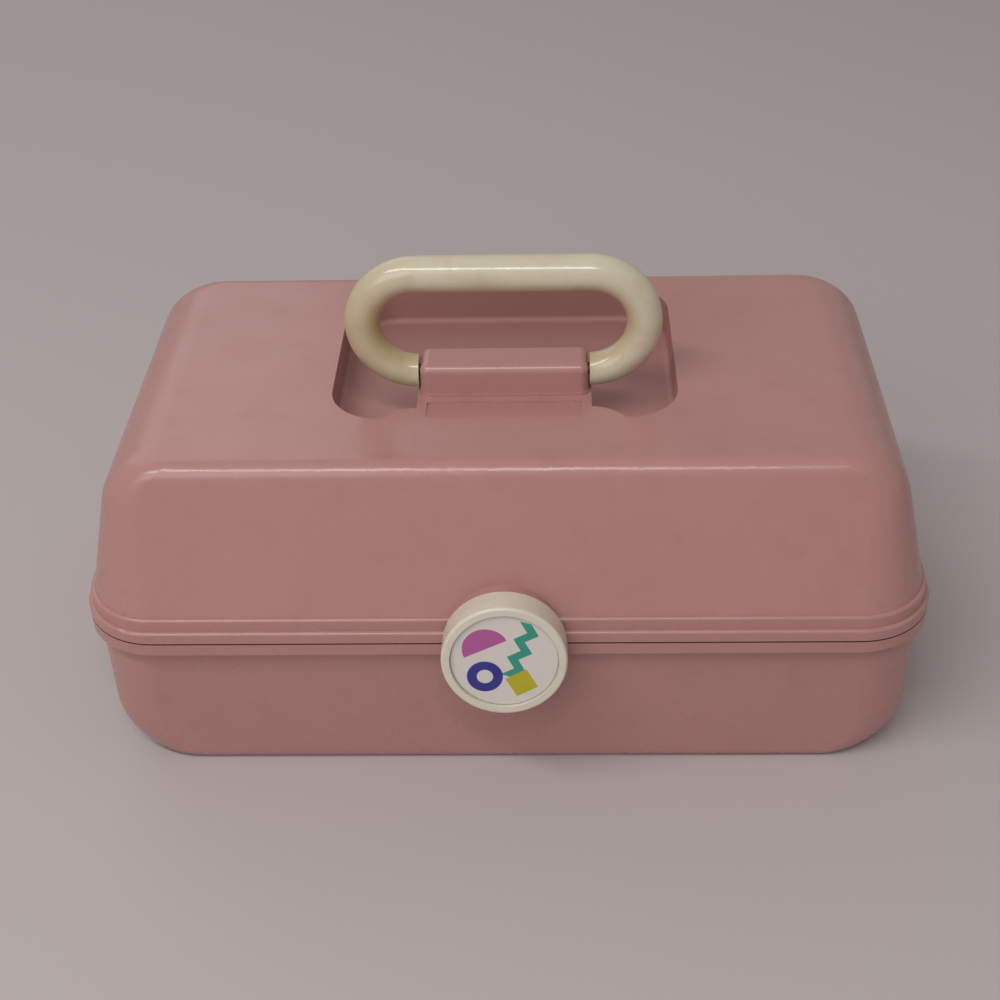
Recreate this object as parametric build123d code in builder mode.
"""Makeup storage case with a folding handle, in millimetres.

The case stands on the plane z = 0, centred on the Z axis.  +X is the case's right-hand end as
someone facing the latch sees it, +Y points to the hinges at the back and +Z is up.  The lid is
closed and the handle stands upright, as in the photograph.

Inside, two trays hang between the lid and a pair of arms.  Every arm is as long as the lid's
bracket and points the same way, so each tray stays level while the lid opens.
"""
from build123d import *
from math import cos, radians, sin, sqrt, tan
import os

os.makedirs("parts", exist_ok=True)

# ---------------------------------------------------------------- driving dimensions
# Overall shell
case_width = 334.0            # across the rim, left to right
case_depth = 195.5            # across the rim, front to back
rim_corner_radius = 30.0      # plan radius of the rim's corners
parting_height = 68.0         # top of the base rim above the table
case_height = 137.0           # flat top of the lid above the table
wall = 2.4                    # moulded wall thickness

# Base
base_rim_height = 6.0
base_rim_reach = 3.5          # how far the base rim stands out from the front and back walls
base_end_reach = 3.2          # how far it stands out from the end walls
base_front_draft = 4.4        # degrees
base_end_draft = 1.2          # degrees
base_front_fold = 4.0         # radius of the fold between the front wall and the underside
base_end_fold = 25.0          # radius of the roll at the left and right ends
base_corner_tightening = 1.3  # how fast the plan corners tighten towards the underside
rim_edge_radius = 1.2         # soft edges of the rims

# Lid
parting_gap = 0.6
lid_band_height = 4.9         # lower band of the lid's stepped rim
lid_step_height = 5.4         # upper band
lid_step = 1.6                # setback of each step
lid_front_draft = 17.0        # degrees
lid_end_draft = 12.0          # degrees
lid_front_fold = 7.0          # radius of the crease above the front wall
lid_end_fold = 24.0           # radius of the lid's shoulders at the ends
lid_corner_tightening = 0.8   # how fast the plan corners tighten as the lid narrows
tongue_height = 1.8           # lip of the base inside the lid
tongue_width = 1.4
tongue_clearance = 0.35

# Handle recess
recess_width = 138.0
recess_front_setback = 53.75  # front edge of the recess behind the rim's front
recess_back_setback = 32.75   # back edge of the recess in front of the rim's back
recess_depth = 17.0
recess_corner = 21.5
recess_floor_radius = 2.5
pedestal_width = 69.0         # the island that carries the saddle
pedestal_flare = 16.0         # radius of the arcs by which it widens to the front
pedestal_flare_length = 8.4   # length of the flare, front to back
pedestal_corner = 6.0
recess_tip_radius = 5.0       # where the flare meets the recess's front corners
pedestal_margin = 4.3         # from the saddle's back to the pedestal's back edge
relief_setback = 1.0          # thumb relief behind the recess's front edge
thumb_relief_width = 61.0
thumb_relief_length = 11.5
thumb_relief_depth = 0.9

# Saddle and handle
saddle_width = 66.6
saddle_depth = 17.5
saddle_height = 13.1
saddle_edge_radius = 3.4
saddle_setback = 25.8         # handle axis behind the recess's front edge
plinth_height = 1.0           # thin foot under the saddle
plinth_reach = 0.9            # beyond the saddle's front and back
axis_above_lid = 6.9          # handle axis above the lid's flat top
handle_tube = 14.4            # diameter of the grip
handle_end_tube = 13.2        # diameter at the two ends
handle_rise = 42.8            # from the axis to the middle of the grip
handle_side_gap = 0.6         # between the handle's ends and the saddle
handle_rod_diameter = 5.0
handle_rod_grip = 10.0        # length of rod held in each end of the handle

# Hinges
hinge_axis_offset = 4.25      # hinge axis behind the rim
hinge_spacing = 200.0
knuckle_radius = 3.9
knuckle_length = 10.0
knuckle_gap = 0.3
hinge_pin_diameter = 3.2
running_clearance = 0.05      # radial, pin in a bore that turns
open_clearance = 0.25         # radial, loose tray pivots

# Latch
latch_radius = 24.15
latch_depth = 12.0
latch_height = 69.0           # centre of the latch above the table
latch_standoff = 1.6          # back of the latch in front of the rim
latch_tilt = 5.8              # degrees, the face looks slightly upward
latch_lip = 3.3               # width of the ring round the medallion
latch_wall = 2.4
latch_web_back = 8.6          # back of the disc that closes the ring
latch_web = 1.5
latch_edge_radius = 1.2
latch_swing = 15.0            # degrees
card_thickness = 0.4
lens_thickness = 0.9
latch_pin_height = 17.5       # pin above the latch's centre
latch_pin_forward = 2.5       # pin in front of the latch's back
latch_pin_diameter = 2.0
latch_ear_radius = 2.1
latch_ear_thickness = 2.0
latch_knuckle_width = 6.4
latch_boss_radius = 23.2
latch_boss_gap = 0.5
keeper_width = 14.0           # catch on the base rim, behind the latch
keeper_reach = 2.4            # from the rim to the keeper's tip
keeper_tip_height = 1.2
keeper_drop = 1.0             # top of the keeper below the parting
keeper_slope = 50.0           # degrees; a firm pull on the lid slides the hook off this slope
hook_width = 16.0
hook_tip_height = 1.2

# Trays and their linkage
tray_wall = 2.0
tray_side_gap = 5.5           # from a tray's end to the lid bracket beside it
tray_front_gap = 16.25        # from the trays' front to the outside of the base's front wall
upper_tray_back_gap = 72.0    # from the upper tray's back to the hinge axis
lower_tray_back_gap = 52.0
upper_tray_drop = 10.0        # underside of the upper tray below the parting
lower_tray_drop = 47.0
lower_tray_height = 33.0
mirror_clearance = 13.6       # from the upper tray's rim to the mirror
divider_share = 0.8           # height of the dividers as a share of the tray's
tray_corner = 9.0
upper_crank = (-92.0, 6.0)    # hinge to upper tray pivot, (y, z)
lower_crank = (-60.0, -14.0)  # hinge to lower tray pivot, (y, z)
arm_pivot_offset = (-72.0, -8.0)  # hinge to the front arms' pivot on the base, (y, z)
link_thickness = 2.5
link_radius = 6.0             # rounded ends of arms and brackets
arm_wall_gap = 15.8           # from the arms' inner face to the outside of the base's end wall
link_gap = 2.0                # between a lid bracket and the arm beside it
pivot_pin_diameter = 4.0
pivot_head_radius = 3.6
pivot_head_height = 1.0
face_gap = 0.3                # side play between parts that turn
bracket_boss_radius = 5.0
bracket_screw_offsets = ((-62.0, 27.0), (-27.0, 27.0))  # hinge to the screws, (y, z)
boss_root = 1.0               # depth by which the arm bosses enter the base's walls
screw_head_radius = 2.8
screw_head_height = 1.4
screw_shank_radius = 1.3
bracket_screw_length = 6.0    # beyond the bracket
screw_tip_gap = 2.0           # hole beyond a screw's tip
saddle_screw_tip_gap = 0.6

# Mirror
mirror_width = 186.0
mirror_depth = 116.0
mirror_thickness = 4.0
mirror_border = 8.0
mirror_glass_thickness = 2.0
mirror_post_radius = 4.0
mirror_post_height = 6.0
mirror_post_side = 13.0       # posts inside the recess's left and right edges
mirror_post_front = 24.0      # and behind its front edge
mirror_post_back = 15.0       # and in front of its back edge
mirror_corner = 14.0

# ---------------------------------------------------------------- derived places
half_width = case_width / 2
half_depth = case_depth / 2
lid_bottom = parting_height + parting_gap
lid_wall_foot = lid_bottom + lid_band_height + lid_step_height
recess_floor = case_height - recess_depth
recess_front = -half_depth + recess_front_setback
recess_back = half_depth - recess_back_setback
saddle_y = recess_front + saddle_setback
pedestal_back = saddle_y + saddle_depth / 2 + pedestal_margin
hinge_y = half_depth + hinge_axis_offset
hinge_z = parting_height
handle_z = case_height + axis_above_lid
arm_pivot = (hinge_y + arm_pivot_offset[0], hinge_z + arm_pivot_offset[1])
upper_lid_pivot = (hinge_y + upper_crank[0], hinge_z + upper_crank[1])
lower_lid_pivot = (hinge_y + lower_crank[0], hinge_z + lower_crank[1])
upper_arm_pivot = (arm_pivot[0] + upper_crank[0], arm_pivot[1] + upper_crank[1])
lower_arm_pivot = (arm_pivot[0] + lower_crank[0], arm_pivot[1] + lower_crank[1])
mirror_top = recess_floor - wall - mirror_post_height
mirror_bottom = mirror_top - mirror_thickness
mirror_posts_x = recess_width / 2 - mirror_post_side
mirror_posts_y = (recess_front + mirror_post_front, recess_back - mirror_post_back)
bracket_screw_centres = [(hinge_y + y, hinge_z + z) for y, z in bracket_screw_offsets]

base_half_x = half_width - base_end_reach
base_half_y = half_depth - base_rim_reach
arm_plane = base_half_x - arm_wall_gap
bracket_plane = arm_plane - link_gap - link_thickness
tray_half_width = bracket_plane - tray_side_gap
tray_front = -base_half_y + tray_front_gap
upper_tray_bottom = parting_height - upper_tray_drop
upper_tray_height = mirror_bottom - mirror_clearance - upper_tray_bottom
lower_tray_bottom = parting_height - lower_tray_drop

latch_plane = Plane(
    origin=(0, -half_depth - latch_standoff, latch_height),
    x_dir=(1, 0, 0),
    z_dir=(0, -cos(radians(latch_tilt)), sin(radians(latch_tilt))),
)


# ---------------------------------------------------------------- shapes that repeat
def drafted_half(height, foot, full_height, draft, fold):
    """Half size of a moulded tub at a height above its rim.

    The wall leans in by the draft angle, then rolls over a fold of the given radius into the
    flat face at full_height.
    """
    slope = tan(radians(draft))
    fold_centre = full_height - fold
    fold_start = fold_centre + fold * sin(radians(draft))
    if height <= fold_start:
        return foot - height * slope
    centre = foot - fold_start * slope - fold * cos(radians(draft))
    return centre + sqrt(max(fold**2 - (height - fold_centre) ** 2, 0.0))


def tub_stations(full_height, front_draft, front_fold, end_draft, end_fold):
    """Heights of the cross-sections of the folds: closest where the walls turn quickest."""
    end_start = full_height - end_fold * (1 - sin(radians(end_draft)))
    front_start = full_height - front_fold * (1 - sin(radians(front_draft)))
    heights = []
    for turn in (0.0, 0.13, 0.28, 0.44, 0.6, 0.75, 0.87, 0.95):
        heights.append(end_start + turn * (front_start - end_start))
    for turn in (0.08, 0.28, 0.5, 0.72, 0.9, 1.0):
        heights.append(front_start + turn * (full_height - front_start))
    return heights


def tub(foot_z, direction, full_height, half_x, half_y, corners, fronts, ends, inset):
    """Solid tub that rises from foot_z (direction +1) or hangs from it (-1).

    Its straight drafted walls are one ruled loft, its folds and flat face a smooth one.
    """
    corner, tightening = corners
    front_draft, front_fold = fronts
    end_draft, end_fold = ends
    stations = tub_stations(full_height, front_draft, front_fold, end_draft, end_fold)

    def section(height):
        x = drafted_half(height, half_x, full_height, end_draft, end_fold) - inset
        y = drafted_half(height, half_y, full_height, front_draft, front_fold) - inset
        radius = max(corner - inset - tightening * (half_y - inset - y), wall)
        level = foot_z + direction * height * (full_height - inset) / full_height
        with BuildSketch(Plane.XY.offset(level)) as outline:
            RectangleRounded(2 * x, 2 * y, radius)
        return outline.sketch

    walls = loft([section(0.0), section(stations[0])], ruled=True)
    folds = loft([section(height) for height in stations])
    return walls + folds


def rim_band(bottom, height, inset, soft_level):
    """One band of a rim, with its outer edge softened at its foot (0) or at its top (-1)."""
    with BuildPart() as band:
        with BuildSketch(Plane.XY.offset(bottom)):
            RectangleRounded(
                case_width - 2 * inset, case_depth - 2 * inset, rim_corner_radius - inset
            )
        extrude(amount=height)
        fillet(band.edges().group_by(Axis.Z)[soft_level], radius=rim_edge_radius)
    return band.part


def link_plate(points, start_x, holes, hole_radius):
    """Flat link in a YZ plane: rounded pads at its points joined by straight edges."""
    with BuildPart() as plate:
        with BuildSketch(Plane.YZ.offset(start_x)):
            for y, z in points:
                with Locations((y, z)):
                    Circle(link_radius)
            make_hull()
            for y, z in holes:
                with Locations((y, z)):
                    Circle(hole_radius, mode=Mode.SUBTRACT)
        extrude(amount=link_thickness)
    return plate.part


def along_x(start, end, centre, radius):
    """Round bar parallel to X, between two x values."""
    with BuildPart() as bar:
        with BuildSketch(Plane.YZ.offset(start)):
            with Locations(centre):
                Circle(radius)
        extrude(amount=end - start)
    return bar.part


def both_sides(solid):
    """The solid and its mirror image on the other side of the case."""
    return solid + mirror(solid, about=Plane.YZ)


def save(solid, label):
    solid.label = label
    export_step(solid, f"parts/{label}.step")


# ---------------------------------------------------------------- hinges
# Two barrel hinges outside the back rim.  Each has two knuckles on the base, one on the lid.
barrel_length = 3 * knuckle_length + 2 * knuckle_gap


def knuckle(centre_x, web_low, web_high):
    """Knuckle with the web that carries it from the rim."""
    left = centre_x - knuckle_length / 2
    barrel = along_x(left, left + knuckle_length, (hinge_y, hinge_z), knuckle_radius)
    with BuildPart() as web:
        with BuildSketch(Plane.YZ.offset(left)):
            with Locations((half_depth - wall, web_low)):
                Rectangle(
                    hinge_axis_offset + wall, web_high - web_low, align=(Align.MIN, Align.MIN)
                )
        extrude(amount=knuckle_length)
    return barrel + web.part


base_knuckles = Part()
lid_knuckles = Part()
for hinge_x in (-hinge_spacing / 2, hinge_spacing / 2):
    for side in (-1, 1):
        base_knuckles += knuckle(
            hinge_x + side * (knuckle_length + knuckle_gap),
            hinge_z - knuckle_radius,
            hinge_z - parting_gap,
        )
    lid_knuckles += knuckle(hinge_x, hinge_z + 2 * parting_gap, hinge_z + knuckle_radius)

hinge_bore = Part()
for hinge_x in (-hinge_spacing / 2, hinge_spacing / 2):
    hinge_bore += along_x(
        hinge_x - barrel_length,
        hinge_x + barrel_length,
        (hinge_y, hinge_z),
        hinge_pin_diameter / 2 + running_clearance,
    )

# ---------------------------------------------------------------- base shell
base_fronts = (base_front_draft, base_front_fold)
base_ends = (base_end_draft, base_end_fold)
base_corners = (rim_corner_radius - base_rim_reach, base_corner_tightening)
base_wall_top = parting_height - base_rim_height / 2

base_outer = tub(
    base_wall_top, -1, base_wall_top,
    base_half_x, base_half_y, base_corners, base_fronts, base_ends, 0.0,
)
base_inner = tub(
    base_wall_top, -1, base_wall_top,
    base_half_x, base_half_y, base_corners, base_fronts, base_ends, wall,
)
with BuildPart() as base_shell:
    add(base_outer)
    add(rim_band(parting_height - base_rim_height, base_rim_height, 0.0, 0))
    add(base_knuckles)
    # Lip that lines the lid up when it closes.
    lip_inset = 2 * lid_step + wall + tongue_clearance
    with BuildSketch(Plane.XY.offset(parting_height)):
        RectangleRounded(
            case_width - 2 * lip_inset, case_depth - 2 * lip_inset, rim_corner_radius - lip_inset
        )
    extrude(amount=tongue_height)
    add(base_inner, mode=Mode.SUBTRACT)
    # The opening runs up through the rim and the lip.
    mouth_inset = lip_inset + tongue_width
    with BuildSketch(Plane.XY.offset(base_wall_top)):
        RectangleRounded(
            case_width - 2 * mouth_inset,
            case_depth - 2 * mouth_inset,
            rim_corner_radius - mouth_inset,
        )
    extrude(amount=base_rim_height / 2 + tongue_height, mode=Mode.SUBTRACT)
    # Bosses that carry the front arms.
    boss_face = arm_plane + link_thickness + face_gap
    add(both_sides(along_x(boss_face, base_half_x - boss_root, arm_pivot, link_radius)))
    add(
        both_sides(along_x(arm_plane, base_half_x - wall, arm_pivot, pivot_pin_diameter / 2)),
        mode=Mode.SUBTRACT,
    )
    add(hinge_bore, mode=Mode.SUBTRACT)
save(base_shell.part, "base_shell")

# ---------------------------------------------------------------- handle recess
# A pocket round the saddle's pedestal.  Its outline grown by the wall gives the moulding below.
with BuildSketch() as pedestal_outline:
    flare_start = (recess_width / 2 - recess_corner, recess_front)
    flare_end = (pedestal_width / 2, recess_front + pedestal_flare_length)
    with BuildLine():
        Line((0, recess_front), flare_start)
        RadiusArc(flare_start, flare_end, -pedestal_flare)
        Polyline(flare_end, (pedestal_width / 2, pedestal_back), (0, pedestal_back))
        mirror(about=Plane.YZ)
    make_face()
    fillet(pedestal_outline.vertices().group_by(Axis.Y)[-1].sort_by(Axis.X)[0], radius=pedestal_corner)
    fillet(pedestal_outline.vertices().group_by(Axis.Y)[-1].sort_by(Axis.X)[-1], radius=pedestal_corner)

with BuildSketch() as recess_outline:
    with Locations((0, (recess_front + recess_back) / 2)):
        RectangleRounded(recess_width, recess_back - recess_front, recess_corner)
    add(pedestal_outline.sketch, mode=Mode.SUBTRACT)
    # The pocket's two front tips, where its corner arcs meet the flare.
    fillet(recess_outline.vertices().group_by(Axis.Y)[0], radius=recess_tip_radius)

with BuildPart() as recess_pocket:
    with BuildSketch(Plane.XY.offset(recess_floor)):
        add(recess_outline.sketch)
    extrude(amount=recess_depth + wall)
    fillet(recess_pocket.edges().group_by(Axis.Z)[0], radius=recess_floor_radius)

with BuildPart() as recess_moulding:
    with BuildSketch(Plane.XY.offset(recess_floor - wall)):
        add(recess_outline.sketch)
        offset(amount=wall, kind=Kind.ARC)
    extrude(amount=recess_depth + wall / 2)

# ---------------------------------------------------------------- lid shell
lid_half_x = half_width - 2 * lid_step
lid_half_y = half_depth - 2 * lid_step
lid_corners = (rim_corner_radius - 2 * lid_step, lid_corner_tightening)
lid_rise = case_height - lid_wall_foot
lid_fronts = (lid_front_draft, lid_front_fold)
lid_ends = (lid_end_draft, lid_end_fold)

lid_outer = tub(
    lid_wall_foot, 1, lid_rise, lid_half_x, lid_half_y, lid_corners, lid_fronts, lid_ends, 0.0
)
lid_inner = tub(
    lid_wall_foot, 1, lid_rise, lid_half_x, lid_half_y, lid_corners, lid_fronts, lid_ends, wall
)
latch_pin = latch_plane.from_local_coords(Vector(0, latch_pin_height, latch_pin_forward))

# Bosses that reach in from the end walls to the tray brackets, trimmed by the lid's outside.
bracket_face = bracket_plane + link_thickness
bracket_bosses = Part()
for centre in bracket_screw_centres:
    bracket_bosses += along_x(bracket_face, lid_half_x, centre, bracket_boss_radius)
bracket_bosses = both_sides(bracket_bosses) & lid_outer

# Round boss behind the latch.  Above the pin its face falls back so that the latch can swing.
with BuildPart() as latch_boss:
    with BuildSketch(latch_plane.offset(-latch_boss_gap)):
        Circle(latch_boss_radius)
    extrude(amount=-latch_radius)
    swing_plane = Plane(
        origin=latch_plane.from_local_coords(Vector(0, latch_pin_height, -latch_boss_gap)),
        x_dir=(1, 0, 0),
        z_dir=(0, -cos(radians(latch_tilt + latch_swing)), sin(radians(latch_tilt + latch_swing))),
    )
    split(bisect_by=swing_plane, keep=Keep.BOTTOM)
    split(bisect_by=Plane.XY.offset(lid_bottom), keep=Keep.TOP)

with BuildPart() as lid_shell:
    add(lid_outer)
    add(rim_band(lid_bottom, lid_band_height, 0.0, -1))
    add(rim_band(lid_bottom, lid_band_height + lid_step_height, lid_step, -1))
    add(latch_boss.part)
    add(lid_knuckles)
    add(lid_inner, mode=Mode.SUBTRACT)
    # The opening runs down through the stepped rim.
    lid_mouth_inset = 2 * lid_step + wall
    with BuildSketch(Plane.XY.offset(lid_bottom)):
        RectangleRounded(
            case_width - 2 * lid_mouth_inset,
            case_depth - 2 * lid_mouth_inset,
            rim_corner_radius - lid_mouth_inset,
        )
    extrude(amount=lid_wall_foot - lid_bottom, mode=Mode.SUBTRACT)
    add(recess_moulding.part)
    add(recess_pocket.part, mode=Mode.SUBTRACT)
    # Shallow thumb relief in front of the saddle, deepest at its back edge.
    with BuildSketch(Plane.YZ.offset(-thumb_relief_width / 2)):
        with BuildLine():
            relief_front = recess_front + relief_setback
            Polyline(
                (relief_front, case_height),
                (relief_front + thumb_relief_length, case_height - thumb_relief_depth),
                (relief_front + thumb_relief_length, case_height + wall),
                (relief_front, case_height + wall),
                close=True,
            )
        make_face()
    extrude(amount=thumb_relief_width, mode=Mode.SUBTRACT)
    # Ears for the latch pin.
    for side in (-1, 1):
        ear_start = side * (latch_knuckle_width / 2 + face_gap + latch_ear_thickness / 2)
        ear_start -= latch_ear_thickness / 2
        with BuildSketch(Plane.YZ.offset(ear_start)):
            with Locations((latch_pin.Y, latch_pin.Z)):
                Circle(latch_ear_radius)
                Rectangle(
                    latch_boss_radius / 2, 2 * latch_ear_radius, align=(Align.MIN, Align.CENTER)
                )
        extrude(amount=latch_ear_thickness)
    # Bosses for the tray brackets and posts for the mirror, which are heat-staked to them.
    add(bracket_bosses)
    mirror_post_places = [
        (side * mirror_posts_x, post_y) for side in (-1, 1) for post_y in mirror_posts_y
    ]
    with BuildSketch(Plane.XY.offset(mirror_top)):
        with Locations(mirror_post_places):
            Circle(mirror_post_radius)
    extrude(amount=mirror_post_height + wall / 2)
    # Holes: latch pin, bracket screws, saddle screws and hinge pins.
    latch_centre = (latch_pin.Y, latch_pin.Z)
    add(
        along_x(-latch_radius / 2, latch_radius / 2, latch_centre, latch_pin_diameter / 2),
        mode=Mode.SUBTRACT,
    )
    for centre in bracket_screw_centres:
        hole_end = bracket_face + bracket_screw_length + screw_tip_gap
        add(
            both_sides(along_x(bracket_plane, hole_end, centre, screw_shank_radius)),
            mode=Mode.SUBTRACT,
        )
    saddle_screw_places = [(side * saddle_width / 3, saddle_y) for side in (-1, 1)]
    with BuildSketch(Plane.XY.offset(case_height - 2 * wall)):
        with Locations(saddle_screw_places):
            Circle(screw_shank_radius)
    extrude(amount=3 * wall, mode=Mode.SUBTRACT)
    add(hinge_bore, mode=Mode.SUBTRACT)
save(lid_shell.part, "lid_shell")

# ---------------------------------------------------------------- hinge pins
for side, hinge_x in (("left", -hinge_spacing / 2), ("right", hinge_spacing / 2)):
    hinge_pin = along_x(
        hinge_x - barrel_length / 2,
        hinge_x + barrel_length / 2,
        (hinge_y, hinge_z),
        hinge_pin_diameter / 2,
    )
    save(hinge_pin, f"hinge_pin_{side}")

# ---------------------------------------------------------------- saddle and handle
handle_centre = (saddle_y, handle_z)
with BuildPart() as handle_saddle:
    with BuildSketch(Plane.YZ.offset(-saddle_width / 2)):
        with Locations((saddle_y, case_height)):
            Rectangle(saddle_depth, saddle_height, align=(Align.CENTER, Align.MIN))
    extrude(amount=saddle_width)
    fillet(handle_saddle.edges().group_by(Axis.Z)[1:], radius=saddle_edge_radius)
    with BuildSketch(Plane.XY.offset(case_height)):
        with Locations((0, saddle_y)):
            RectangleRounded(
                saddle_width + handle_side_gap,
                saddle_depth + 2 * plinth_reach,
                saddle_edge_radius + plinth_reach,
            )
    extrude(amount=plinth_height)
    add(
        along_x(
            -saddle_width, saddle_width, handle_centre, handle_rod_diameter / 2 + running_clearance
        ),
        mode=Mode.SUBTRACT,
    )
    with BuildSketch(Plane.XY.offset(case_height - wall)):
        with Locations(saddle_screw_places):
            Circle(screw_shank_radius)
    extrude(amount=2 * wall, mode=Mode.SUBTRACT)
save(handle_saddle.part, "handle_saddle")

with BuildPart() as saddle_screws:
    screw_seat = case_height - wall
    with BuildSketch(Plane.XY.offset(screw_seat)):
        with Locations(saddle_screw_places):
            Circle(screw_shank_radius)
    extrude(amount=2 * wall - saddle_screw_tip_gap)
    with BuildSketch(Plane.XY.offset(screw_seat)):
        with Locations(saddle_screw_places):
            Circle(screw_head_radius)
    extrude(amount=-screw_head_height)
save(saddle_screws.part, "saddle_screws")

# The handle is one round tube bent into a stadium that stays open where the saddle stands.  It
# is a little thicker at the grip than at its ends.
handle_end = saddle_width / 2 + handle_side_gap
handle_bend = handle_rise / 2
with BuildPart() as handle:
    with BuildLine(Plane.XZ.offset(-saddle_y)) as handle_path:
        ThreePointArc(
            (-handle_end, handle_z),
            (-handle_end - handle_bend, handle_z + handle_bend),
            (-handle_end, handle_z + handle_rise),
        )
        Line((-handle_end, handle_z + handle_rise), (handle_end, handle_z + handle_rise))
        ThreePointArc(
            (handle_end, handle_z + handle_rise),
            (handle_end + handle_bend, handle_z + handle_bend),
            (handle_end, handle_z),
        )
    for share, diameter in ((0, handle_end_tube), (0.5, handle_tube), (1, handle_end_tube)):
        with BuildSketch(handle_path.line ^ share):
            Circle(diameter / 2)
    sweep(path=handle_path.line, multisection=True)
    rod_reach = handle_end + handle_rod_grip
    add(
        along_x(-rod_reach, rod_reach, handle_centre, handle_rod_diameter / 2), mode=Mode.SUBTRACT
    )
save(handle.part, "handle")
save(
    along_x(-rod_reach, rod_reach, handle_centre, handle_rod_diameter / 2), "handle_rod"
)

# ---------------------------------------------------------------- latch
web_front = latch_web_back + latch_web
medallion_radius = latch_radius - latch_lip
with BuildPart() as latch_body:
    with BuildSketch(latch_plane):
        Circle(latch_radius)
    extrude(amount=latch_depth)
    fillet(latch_body.edges().sort_by(Axis.Y)[0], radius=latch_edge_radius)
    with BuildSketch(latch_plane.offset(web_front)):
        Circle(medallion_radius)
    extrude(amount=latch_depth - web_front, mode=Mode.SUBTRACT)
    with BuildSketch(latch_plane):
        Circle(latch_radius - latch_wall)
    extrude(amount=latch_web_back, mode=Mode.SUBTRACT)
    # Knuckle that turns on the pin.
    add(
        along_x(-latch_knuckle_width / 2, latch_knuckle_width / 2, latch_centre, latch_ear_radius)
    )
    with BuildSketch(latch_plane.offset(latch_pin_forward)):
        with Locations((0, latch_pin_height)):
            Rectangle(latch_knuckle_width, 2 * latch_ear_radius)
    extrude(amount=latch_web_back - latch_pin_forward + latch_web / 2)
    add(
        along_x(
            -latch_radius / 2, latch_radius / 2, latch_centre,
            latch_pin_diameter / 2 + running_clearance,
        ),
        mode=Mode.SUBTRACT,
    )
save(latch_body.part, "latch_body")

# A wedge on the base rim, and the hook that reaches under it from the latch's web.  Both slope
# alike, with the face gap between them.
keeper_rise = tan(radians(keeper_slope))
keeper_tip = -half_depth - keeper_reach
keeper_top = parting_height - keeper_drop
keeper_tip_foot = keeper_top - keeper_tip_height
with BuildPart() as latch_keeper:
    with BuildSketch(Plane.YZ.offset(-keeper_width / 2)):
        with BuildLine():
            Polyline(
                (-half_depth, keeper_top),
                (keeper_tip, keeper_top),
                (keeper_tip, keeper_tip_foot),
                (-half_depth, keeper_tip_foot - keeper_reach * keeper_rise),
                close=True,
            )
        make_face()
    extrude(amount=keeper_width)
save(latch_keeper.part, "latch_keeper")

hook_tip = -half_depth - face_gap
hook_start = keeper_tip - face_gap
slope_foot = keeper_tip_foot - face_gap / cos(radians(keeper_slope))
hook_top = slope_foot + (keeper_tip - hook_start) * keeper_rise
hook_tip_top = slope_foot + (keeper_tip - hook_tip) * keeper_rise
hook_foot = hook_tip_top - hook_tip_height


def web_back_at(level):
    """Point (y, z) on the back of the latch's web at a height above the table."""
    rise = level - latch_height - latch_web_back * sin(radians(latch_tilt))
    point = latch_plane.from_local_coords(
        Vector(0, rise / cos(radians(latch_tilt)), latch_web_back)
    )
    return (point.Y, point.Z)


with BuildPart() as latch_hook:
    with BuildSketch(Plane.YZ.offset(-hook_width / 2)):
        with BuildLine():
            Polyline(
                web_back_at(hook_foot),
                (hook_tip, hook_foot),
                (hook_tip, hook_tip_top),
                (hook_start, hook_top),
                web_back_at(hook_top),
                close=True,
            )
        make_face()
    extrude(amount=hook_width)
save(latch_hook.part, "latch_hook")

latch_pin_half = latch_knuckle_width / 2 + face_gap + latch_ear_thickness
save(
    along_x(-latch_pin_half, latch_pin_half, latch_centre, latch_pin_diameter / 2), "latch_pin"
)

with BuildPart() as medallion_card:
    with BuildSketch(latch_plane.offset(web_front)):
        Circle(medallion_radius)
    extrude(amount=card_thickness)
save(medallion_card.part, "medallion_card")

with BuildPart() as medallion_lens:
    with BuildSketch(latch_plane.offset(web_front + card_thickness)):
        Circle(medallion_radius)
    extrude(amount=lens_thickness)
save(medallion_lens.part, "medallion_lens")


# ---------------------------------------------------------------- trays
def tray(front, back, bottom, height, across, along):
    """Open tray with dividers at fractions of its width (along) and depth (across)."""
    width = 2 * tray_half_width
    depth = back - front
    middle = (front + back) / 2
    with BuildPart() as body:
        with BuildSketch(Plane.XY.offset(bottom)):
            with Locations((0, middle)):
                RectangleRounded(width, depth, tray_corner)
        extrude(amount=height)
        fillet(body.edges().group_by(Axis.Z)[0], radius=tray_wall)
        with BuildSketch(Plane.XY.offset(bottom + tray_wall)):
            with Locations((0, middle)):
                RectangleRounded(
                    width - 2 * tray_wall, depth - 2 * tray_wall, tray_corner - tray_wall
                )
        extrude(amount=height, mode=Mode.SUBTRACT)
        with BuildSketch(Plane.XY.offset(bottom + tray_wall / 2)):
            for share in along:
                with Locations((-tray_half_width + share * width, middle)):
                    Rectangle(tray_wall, depth - tray_wall)
            for share, first, last in across:
                left = -tray_half_width + first * width
                right = -tray_half_width + last * width
                with Locations(((left + right) / 2, front + share * depth)):
                    Rectangle(right - left, tray_wall)
        extrude(amount=divider_share * height)
    return body.part


def tray_pins(lid_pivot, front_pivot):
    """Two shouldered pins at each end of a tray: one for the lid bracket, one for the arm."""
    pins = Part()
    for pivot, plane_start in ((lid_pivot, bracket_plane), (front_pivot, arm_plane)):
        outer = plane_start + link_thickness + face_gap
        pins += along_x(
            tray_half_width - tray_wall, outer + pivot_head_height, pivot, pivot_pin_diameter / 2
        )
        pins += along_x(tray_half_width, plane_start - face_gap, pivot, pivot_head_radius)
        pins += along_x(outer, outer + pivot_head_height, pivot, pivot_head_radius)
    return both_sides(pins)


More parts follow.
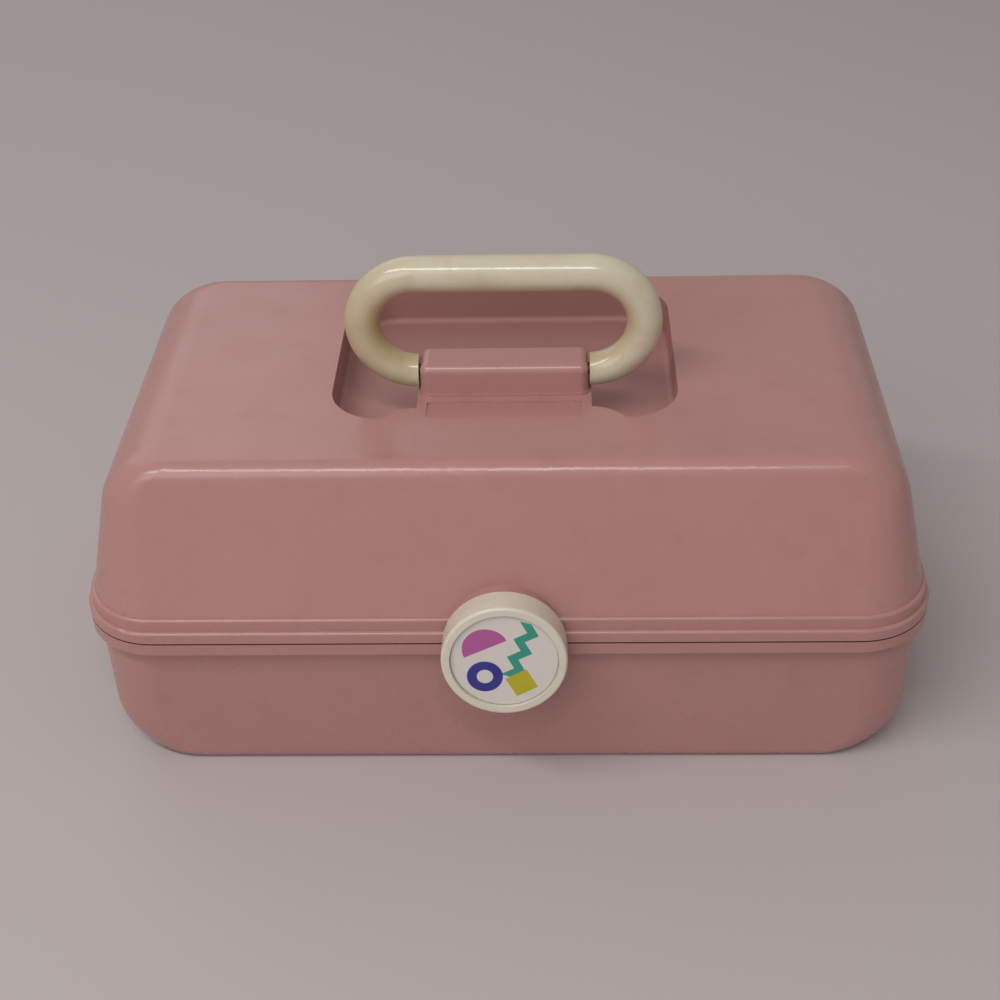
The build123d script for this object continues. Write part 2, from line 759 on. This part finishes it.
tray_plans = {
    "upper_tray": (
        (tray_front, hinge_y - upper_tray_back_gap, upper_tray_bottom, upper_tray_height),
        ((0.5, 0.0, 0.34), (0.5, 0.66, 1.0)),
        (0.34, 0.66),
        (upper_lid_pivot, upper_arm_pivot),
    ),
    "lower_tray": (
        (tray_front, hinge_y - lower_tray_back_gap, lower_tray_bottom, lower_tray_height),
        ((0.42, 0.0, 0.5),),
        (0.5,),
        (lower_lid_pivot, lower_arm_pivot),
    ),
}
for label, (size, across, along, pivots) in tray_plans.items():
    body = tray(*size, across, along)
    for pivot in pivots:
        hole_end = tray_half_width + tray_wall
        body -= both_sides(
            along_x(tray_half_width - 2 * tray_wall, hole_end, pivot, pivot_pin_diameter / 2)
        )
    save(body, label)
    save(tray_pins(*pivots), f"{label}_pins")

# ---------------------------------------------------------------- arms and lid brackets
arm_points = (arm_pivot, upper_arm_pivot, lower_arm_pivot)
bracket_holes = (upper_lid_pivot, lower_lid_pivot)
open_hole = pivot_pin_diameter / 2 + open_clearance
running_hole = pivot_pin_diameter / 2 + running_clearance

right_arm = link_plate(arm_points, arm_plane, arm_points, open_hole)
left_arm = mirror(link_plate(arm_points, arm_plane, arm_points, running_hole), about=Plane.YZ)
save(left_arm, "arm_left")
save(right_arm, "arm_right")

right_bracket = link_plate(
    (*bracket_holes, *bracket_screw_centres), bracket_plane, bracket_holes, open_hole
)
for centre in bracket_screw_centres:
    right_bracket -= along_x(bracket_plane, bracket_face, centre, screw_shank_radius)
save(right_bracket, "lid_bracket_right")
save(mirror(right_bracket, about=Plane.YZ), "lid_bracket_left")

bracket_screws = Part()
for centre in bracket_screw_centres:
    bracket_screws += along_x(
        bracket_plane, bracket_face + bracket_screw_length, centre, screw_shank_radius
    )
    bracket_screws += along_x(
        bracket_plane - screw_head_height, bracket_plane, centre, screw_head_radius
    )
save(both_sides(bracket_screws), "bracket_screws")

# Headed pins pressed into the base's bosses, one through each arm.
arm_pins = along_x(
    arm_plane - face_gap - pivot_head_height, base_half_x - wall, arm_pivot, pivot_pin_diameter / 2
)
arm_pins += along_x(
    arm_plane - face_gap - pivot_head_height, arm_plane - face_gap, arm_pivot, pivot_head_radius
)
save(both_sides(arm_pins), "arm_pivot_pins")

# ---------------------------------------------------------------- mirror
mirror_middle = sum(mirror_posts_y) / 2
with BuildPart() as mirror_frame:
    with BuildSketch(Plane.XY.offset(mirror_bottom)):
        with Locations((0, mirror_middle)):
            RectangleRounded(mirror_width, mirror_depth, mirror_corner)
    extrude(amount=mirror_thickness)
    with BuildSketch(Plane.XY.offset(mirror_bottom)):
        with Locations((0, mirror_middle)):
            RectangleRounded(
                mirror_width - 2 * mirror_border,
                mirror_depth - 2 * mirror_border,
                mirror_corner - mirror_border / 2,
            )
    extrude(amount=mirror_glass_thickness, mode=Mode.SUBTRACT)
save(mirror_frame.part, "mirror_frame")

with BuildPart() as mirror_glass:
    with BuildSketch(Plane.XY.offset(mirror_bottom)):
        with Locations((0, mirror_middle)):
            RectangleRounded(
                mirror_width - 2 * mirror_border,
                mirror_depth - 2 * mirror_border,
                mirror_corner - mirror_border / 2,
            )
    extrude(amount=mirror_glass_thickness)
save(mirror_glass.part, "mirror_glass")
